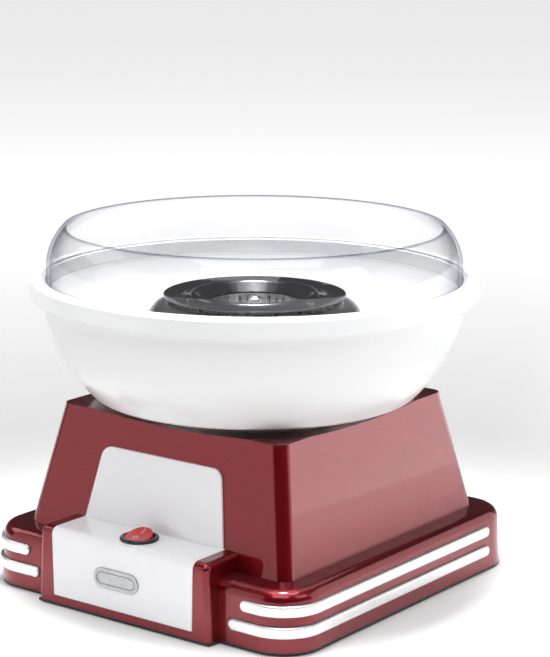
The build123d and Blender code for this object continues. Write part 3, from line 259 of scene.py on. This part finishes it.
def clear_plastic():
    """Clear moulded guard: light passes straight through; painted shade greys the wall where seen
    edge-on and on the cut edge of its lip, in place of the darker reflections and bent light there.
    """
    m, tree, shader = new_material("clear_plastic")
    tree.nodes.remove(shader)
    weight = tree.nodes.new("ShaderNodeLayerWeight")
    weight.inputs["Blend"].default_value = 0.5
    edge_on = weight.outputs["Facing"]
    # painted shade: grey mixed into what the guard lets through, edge-on and on the lip's cut edge
    guard_painted_shade = tree.nodes.new("ShaderNodeMix")
    guard_painted_shade.data_type = "RGBA"
    tree.links.new(lip_shade_mask(tree), guard_painted_shade.inputs["Factor"])
    tree.links.new(ramp(tree, edge_on, GUARD_EDGE_SHADE), guard_painted_shade.inputs["A"])
    guard_painted_shade.inputs["B"].default_value = (*LIP_PAINTED_SHADE, 1)
    through = tree.nodes.new("ShaderNodeBsdfTransparent")
    tree.links.new(guard_painted_shade.outputs["Result"], through.inputs["Color"])
    gloss = tree.nodes.new("ShaderNodeBsdfGlossy")
    gloss.inputs["Roughness"].default_value = 0.03
    tree.links.new(bump(tree, noise(tree, 18, 1), 0.02, 0.001), gloss.inputs["Normal"])
    steep = tree.nodes.new("ShaderNodeMath")
    steep.operation = "POWER"
    steep.inputs[1].default_value = 4.0
    tree.links.new(edge_on, steep.inputs[0])
    share = map_range(tree, steep.outputs["Value"], 0, 1, *GUARD_GLOSS)
    choose = tree.nodes.new("ShaderNodeMixShader")
    tree.links.new(share.outputs["Result"], choose.inputs["Fac"])
    tree.links.new(through.outputs["BSDF"], choose.inputs[1])
    tree.links.new(gloss.outputs["BSDF"], choose.inputs[2])
    tree.links.new(choose.outputs["Shader"], tree.nodes["Material Output"].inputs["Surface"])
    return m


def black_plastic(name, rough_low, rough_high, shade=0.012):
    """Black moulding, glossy or matte by its roughness, with a very fine grain."""
    m, tree, shader = new_material(name)
    set_sockets(shader, specular=0.5)
    dark = (shade, shade, shade * 1.05)
    light = (shade * 1.7, shade * 1.7, shade * 1.8)
    link_surface(tree, shader,
                 ramp(tree, noise(tree, 400, 4), [(0.3, dark), (0.7, light)]),
                 spread(tree, noise(tree, 70, 5), rough_low, rough_high),
                 bump(tree, noise(tree, 1400, 3), 0.08, 0.00008))
    return m


def coated_head():
    """Dark non-stick coating on spun metal, with faint turning rings."""
    m, tree, shader = new_material("coated_head")
    set_sockets(shader, metallic=0.25, specular=0.6, coat=0.6, coat_roughness=0.05)
    darks = [(0.3, (0.010, 0.010, 0.011)), (0.7, (0.022, 0.022, 0.024))]
    link_surface(tree, shader,
                 ramp(tree, noise(tree, 300, 4), darks),
                 spread(tree, noise(tree, 50, 5), 0.12, 0.24),
                 bump(tree, turning_rings(tree, 1500), 0.05, 0.00008))
    return m


def turning_rings(tree, scale):
    """Bands of constant radius round the spindle axis."""
    wave = tree.nodes.new("ShaderNodeTexWave")
    wave.wave_type = "RINGS"
    wave.rings_direction = "Z"
    wave.inputs["Scale"].default_value = scale
    wave.inputs["Distortion"].default_value = 1.5
    wave.inputs["Detail"].default_value = 2
    tree.links.new(object_coords(tree), wave.inputs["Vector"])
    return wave.outputs["Fac"]


def bare_metal(name, colour, rough_low=0.2, rough_high=0.38, turned=False):
    """Uncoated metal, with turning rings or fine drawn streaks."""
    m, tree, shader = new_material(name)
    set_sockets(shader, metallic=1.0)
    fine = turning_rings(tree, 900) if turned else noise(tree, 500, 4, 0.6, (1, 1, 5))
    darker = tuple(0.82 * c for c in colour)
    link_surface(tree, shader,
                 ramp(tree, noise(tree, 80, 4), [(0.3, darker), (0.7, colour)]),
                 spread(tree, noise(tree, 140, 5), rough_low, rough_high),
                 bump(tree, fine, 0.1, 0.00006))
    return m


def moulded(name, colour, rough_low=0.35, rough_high=0.5, grain=1200, depth=0.0001,
            specular=0.5):
    """Plain moulded plastic, rubber or ceramic with a fine grain."""
    m, tree, shader = new_material(name)
    set_sockets(shader, specular=specular)
    darker = tuple(0.85 * c for c in colour)
    link_surface(tree, shader,
                 ramp(tree, noise(tree, 120, 4), [(0.3, darker), (0.7, colour)]),
                 spread(tree, noise(tree, 90, 5), rough_low, rough_high),
                 bump(tree, noise(tree, grain, 3), 0.25, depth))
    return m


def make_materials():
    """One material for each slot of the record, and the variants of single pieces, the prints and the
    painted shade line round the badge.
    """
    return {
        "candy_red": candy_red(),
        "white_gloss": white_plastic("white_gloss", (0.87, 0.873, 0.882), 0.25, 0.16, 0.24),
        # painted light: a lighter copy of the white moulding, making up for the bowl's shade on the
        # fascia
        "fascia_white_lit": white_plastic("fascia_white_lit", (0.935, 0.937, 0.96), 0.35),
        "silver_trim": satin_silver("silver_trim", (0.84, 0.845, 0.85), (0.93, 0.93, 0.935)),
        # painted shade: a darker copy of the silver trim, which keeps the badge from going white
        # under the lamps
        "badge_silver_shaded": satin_silver("badge_silver_shaded", (0.42, 0.425, 0.435), (0.54, 0.54, 0.55)),
        "clear_guard": clear_plastic(),
        "black_gloss": black_plastic("black_gloss", 0.10, 0.18),
        "print_white": moulded("print_white", (0.85, 0.85, 0.85), 0.35, 0.45, 2500, 0.00003),
        # painted shade: the colour of the dark line round the badge's recessed field
        "badge_shade_dark": moulded("badge_shade_dark", (0.05, 0.05, 0.055), 0.35, 0.45, 2500, 0.00003),
        "black_matte": black_plastic("black_matte", 0.34, 0.46, 0.02),
        "rocker_red": moulded("rocker_red", (0.62, 0.035, 0.03), 0.18, 0.26, 900, 0.00005),
        "head_black": coated_head(),
        "aluminium": bare_metal("aluminium", (0.80, 0.80, 0.81), turned=True),
        "steel": bare_metal("steel", (0.62, 0.61, 0.60)),
        "laminations": bare_metal("laminations", (0.38, 0.37, 0.36), 0.35, 0.5),
        "magnet": moulded("magnet", (0.05, 0.05, 0.052), 0.5, 0.65),
        "copper": bare_metal("copper", (0.74, 0.34, 0.17), 0.25, 0.4),
        "brass": bare_metal("brass", (0.74, 0.56, 0.26)),
        "ceramic": moulded("ceramic", (0.82, 0.79, 0.72), 0.45, 0.6),
        "element_tube": bare_metal("element_tube", (0.20, 0.18, 0.16), 0.4, 0.6),
        "carbon": moulded("carbon", (0.03, 0.03, 0.03), 0.5, 0.6),
        "rubber": moulded("rubber", (0.028, 0.028, 0.029), 0.55, 0.75, 2200, 0.00015, 0.35),
        # the cover's own near-black plastic, darkened further as painted shade so the gap under the
        # base shows as a dark shadow line
        "cover_grey": moulded("cover_grey", (0.028, 0.028, 0.030), 0.42, 0.58, 1800, 0.00012),
        "board_green": moulded("board_green", (0.02, 0.13, 0.06), 0.3, 0.45),
        "terminal_green": moulded("terminal_green", (0.03, 0.22, 0.08), 0.3, 0.4),
        "lead_insulation": moulded("lead_insulation", (0.62, 0.60, 0.56), 0.4, 0.55),
        "grommet": moulded("grommet", (0.04, 0.04, 0.04), 0.6, 0.75),
        "fan_grey": moulded("fan_grey", (0.16, 0.16, 0.165), 0.35, 0.5),
    }


def dress(materials):
    """Gives every CAD node the material of its slot, or its own variant of it."""
    for part in frame["record"]["subparts"]:
        name = part["node"]
        mesh = NODES[name].data
        mesh.materials.clear()
        mesh.materials.append(materials[OWN_FINISH.get(name, part["material_slot"])])


# ---------------------------------------------------------------- pieces
def new_object(name, mesh, material, body):
    """Object of the visual model that rides the body and belongs to the slot."""
    obj = bpy.data.objects.new(name, mesh)
    bpy.context.scene.collection.objects.link(obj)
    mesh.materials.append(material)
    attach(obj, body)
    return obj


def ribbon(name, inner, outer, closed, material, body):
    """Thin band between two rows of (point, normal), slightly proud of the surface, used for the
    printed marks and for the painted shade line round the badge.
    """
    count = len(inner)
    verts = []
    for row in (inner, outer):
        for point, normal in row:
            verts += [point + PRINT_AND_SHADE_HEIGHT * normal, point - PRINT_AND_SHADE_HEIGHT * normal]
    faces = []
    for i in range(count if closed else count - 1):
        a, b = 2 * i, 2 * ((i + 1) % count)
        c, d = a + 2 * count, b + 2 * count
        faces += [(a, b, d, c), (a + 1, c + 1, d + 1, b + 1),
                  (a, a + 1, b + 1, b), (c, d, d + 1, c + 1)]
    if not closed:
        last = 2 * (count - 1)
        faces += [(0, 2 * count, 2 * count + 1, 1),
                  (last, last + 1, last + 2 * count + 1, last + 2 * count)]
    mesh = bpy.data.meshes.new(name)
    mesh.from_pydata(verts, [], faces)
    mesh.update()
    return new_object(name, mesh, material, body)


def rocker_marks(material):
    """The O and I printed on the rocker's two halves."""
    mesh = NODES["switch_rocker"].data
    surface = BVHTree.FromPolygons([v.co.copy() for v in mesh.vertices],
                                   [tuple(p.vertices) for p in mesh.polygons])
    low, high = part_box("switch_rocker")
    middle = Vector(((low[0] + high[0]) / 2, (low[1] + high[1]) / 2, 0))

    def drop(x, y):
        start = Vector((middle.x + x, middle.y + y, high[2] + 0.01))
        point, normal, _, _ = surface.ray_cast(start, Vector((0, 0, -1)))
        return point, normal

    def circle(radius):
        turns = [math.tau * i / CIRCLE_STEPS for i in range(CIRCLE_STEPS)]
        return [drop(radius * math.cos(t), radius * math.sin(t) - MARK_OFFSET) for t in turns]

    ribbon("rocker_mark_off", circle(O_RADIUS - MARK_WIDTH), circle(O_RADIUS), True,
           material, "rocker")
    steps = [MARK_OFFSET + I_LENGTH * (i / STROKE_STEPS - 0.5) for i in range(STROKE_STEPS + 1)]
    ribbon("rocker_mark_on", [drop(-MARK_WIDTH / 2, y) for y in steps],
           [drop(MARK_WIDTH / 2, y) for y in steps], False, material, "rocker")


def badge_step_shade(material):
    """Painted shade: a dark line round the blank, recessed field of the badge, where the step at its
    edge would shade.
    """
    low, high = (Vector(v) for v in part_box("badge_plate"))
    middle = (low + high) / 2
    face_y = low.y + BADGE_RECESS
    outward = Vector((0, -1, 0))

    def stadium(inset):
        radius = (high.z - low.z) / 2 - inset
        reach = (high.x - low.x) / 2 - (high.z - low.z) / 2
        row = []
        for side in (1, -1):
            for i in range(ARC_STEPS + 1):
                turn = math.pi * (i / ARC_STEPS - 0.5) + (0 if side > 0 else math.pi)
                place = Vector((middle.x + side * reach + radius * math.cos(turn), face_y,
                                middle.z + radius * math.sin(turn)))
                row.append((place, outward))
        return row

    ribbon("badge_step_shade", stadium(BADGE_SHADE_INSET + BADGE_SHADE_WIDTH), stadium(BADGE_SHADE_INSET),
           True, material, "base")


# ---------------------------------------------------------------- studio set-up
def along(tree, source, way):
    """How far the source vector reaches in the given direction."""
    node = tree.nodes.new("ShaderNodeVectorMath")
    node.operation = "DOT_PRODUCT"
    node.inputs[1].default_value = way
    tree.links.new(source, node.inputs[0])
    return node.outputs["Value"]


def white_floor():
    """Pale floor that brightens with distance, as a lit studio sweep does."""
    mesh = bpy.data.meshes.new("floor")
    corners = [(x * FLOOR_HALF, y * FLOOR_HALF, 0) for x, y in ((-1, -1), (1, -1), (1, 1), (-1, 1))]
    mesh.from_pydata(corners, [], [(0, 1, 2, 3)])
    floor = bpy.data.objects.new("floor", mesh)
    bpy.context.scene.collection.objects.link(floor)
    m, tree, shader = new_material("floor_white")
    set_sockets(shader, color=(FLOOR_WHITE,) * 3, roughness=0.7, specular=0.2)
    shader.inputs["Emission Color"].default_value = (1, 1, 1, 1)
    far = tree.nodes.new("ShaderNodeVectorMath")
    far.operation = "LENGTH"
    tree.links.new(object_coords(tree), far.inputs[0])
    sweep = map_range(tree, far.outputs["Value"], SWEEP_START, SWEEP_END, 0, SWEEP_GLOW)
    reach = along(tree, object_coords(tree), SIDE_WAY)
    side = map_range(tree, reach, SIDE_START, SIDE_END, 0, SIDE_GLOW)
    both = tree.nodes.new("ShaderNodeMath")
    tree.links.new(sweep.outputs["Result"], both.inputs[0])
    tree.links.new(side.outputs["Result"], both.inputs[1])
    tree.links.new(both.outputs["Value"], shader.inputs["Emission Strength"])
    mesh.materials.append(m)


def softbox(name, place, size, radiance, target, spread_deg):
    """Rectangular light of an even brightness, facing the target."""
    light = bpy.data.lights.new(name, "AREA")
    light.shape = "RECTANGLE"
    light.size, light.size_y = size
    light.energy = radiance * math.pi * size[0] * size[1]
    light.spread = math.radians(spread_deg)
    obj = bpy.data.objects.new(name, light)
    bpy.context.scene.collection.objects.link(obj)
    obj.location = place
    obj.rotation_mode = "QUATERNION"
    obj.rotation_quaternion = (Vector(target) - Vector(place)).to_track_quat("-Z", "Y")
    obj.visible_camera = False


def backdrop():
    """Surroundings, white behind the machine and fading to dark towards the front right."""
    world = bpy.data.worlds.new("studio")
    world.use_nodes = True
    tree = world.node_tree
    facing = along(tree, tree.nodes.new("ShaderNodeTexCoord").outputs["Generated"], WALL_WAY)
    fade = map_range(tree, facing, WALL_START, WALL_END, WALL_DARK, 1)
    fade.interpolation_type = "SMOOTHSTEP"
    tree.links.new(fade.outputs["Result"], tree.nodes["Background"].inputs["Strength"])
    bpy.context.scene.world = world


def studio():
    """Colour handling, surroundings, floor and lights."""
    bpy.context.scene.view_settings.view_transform = "Standard"
    bpy.context.scene.view_settings.look = "None"
    backdrop()
    white_floor()
    for light in LIGHTS:
        softbox(*light)


make_camera()
studio()
MATERIALS = make_materials()
dress(MATERIALS)
rocker_marks(MATERIALS["print_white"])
# painted shade line round the badge's recessed field
badge_step_shade(MATERIALS["badge_shade_dark"])
